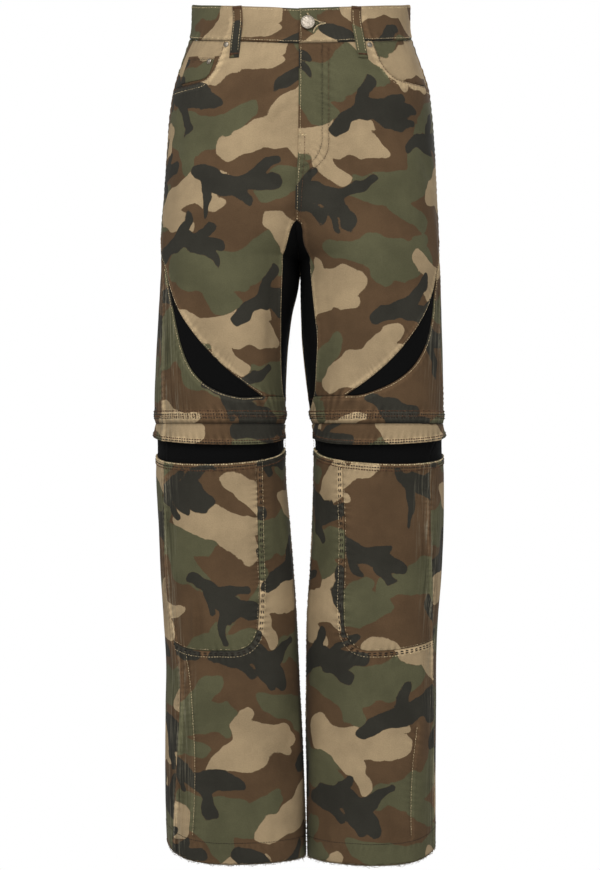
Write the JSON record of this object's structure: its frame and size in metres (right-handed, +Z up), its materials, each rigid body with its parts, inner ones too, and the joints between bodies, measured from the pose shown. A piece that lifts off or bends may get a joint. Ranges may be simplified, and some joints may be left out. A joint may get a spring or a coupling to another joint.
{
  "type": "pair of jeans",
  "caption": "Straight-leg camouflage jeans, filled out as worn and open at waist and hems, with black stretch inserts and a black slit under a flap at each knee.",
  "frame": {"origin": "centre of the waist at the side seams' waistband height, where the wearer holds the garment up", "axes": "+Z up the body, the garment faces -Y, the wearer's left is +X"},
  "size_m": [0.3708, 0.254, 1.1019],
  "materials": {
    "camouflage_twill": "matte cotton twill printed with a woodland camouflage, tan thread",
    "black_knit": "matte black stretch cloth",
    "trim_metal": "brushed, slightly worn"
  },
  "bodies": {
    "root": {"back_left": "camouflage_twill", "back_pocket_left": "camouflage_twill", "back_pocket_right": "camouflage_twill", "back_right": "camouflage_twill", "belt_loop_back": "camouflage_twill", "belt_loop_front_left": "camouflage_twill", "belt_loop_front_right": "camouflage_twill", "belt_loop_side_left": "camouflage_twill", "belt_loop_side_right": "camouflage_twill", "calf_left": "camouflage_twill", "calf_right": "camouflage_twill", "coin_pocket": "camouflage_twill", "front_left": "camouflage_twill", "front_right": "camouflage_twill", "knee_flap_back_left": "camouflage_twill", "knee_flap_back_right": "camouflage_twill", "knee_flap_front_left": "camouflage_twill", "knee_flap_front_right": "camouflage_twill", "knee_panel_left": "camouflage_twill", "knee_panel_right": "camouflage_twill", "pocket_facing_left": "camouflage_twill", "pocket_facing_right": "camouflage_twill", "shin_left": "camouflage_twill", "shin_right": "camouflage_twill", "thigh_side_left": "camouflage_twill", "thigh_side_right": "camouflage_twill", "waistband_left": "camouflage_twill", "waistband_right": "camouflage_twill", "yoke_left": "camouflage_twill", "yoke_right": "camouflage_twill", "inner_insert_left": "black_knit", "inner_insert_right": "black_knit", "knee_ring_back_left": "black_knit", "knee_ring_back_right": "black_knit", "knee_ring_front_left": "black_knit", "knee_ring_front_right": "black_knit", "thigh_crescent_left": "black_knit", "thigh_crescent_right": "black_knit", "button": "trim_metal", "rivet_right": "trim_metal", "rivet_left": "trim_metal", "rivet_coin": "trim_metal"}
  },
  "joints": []
}
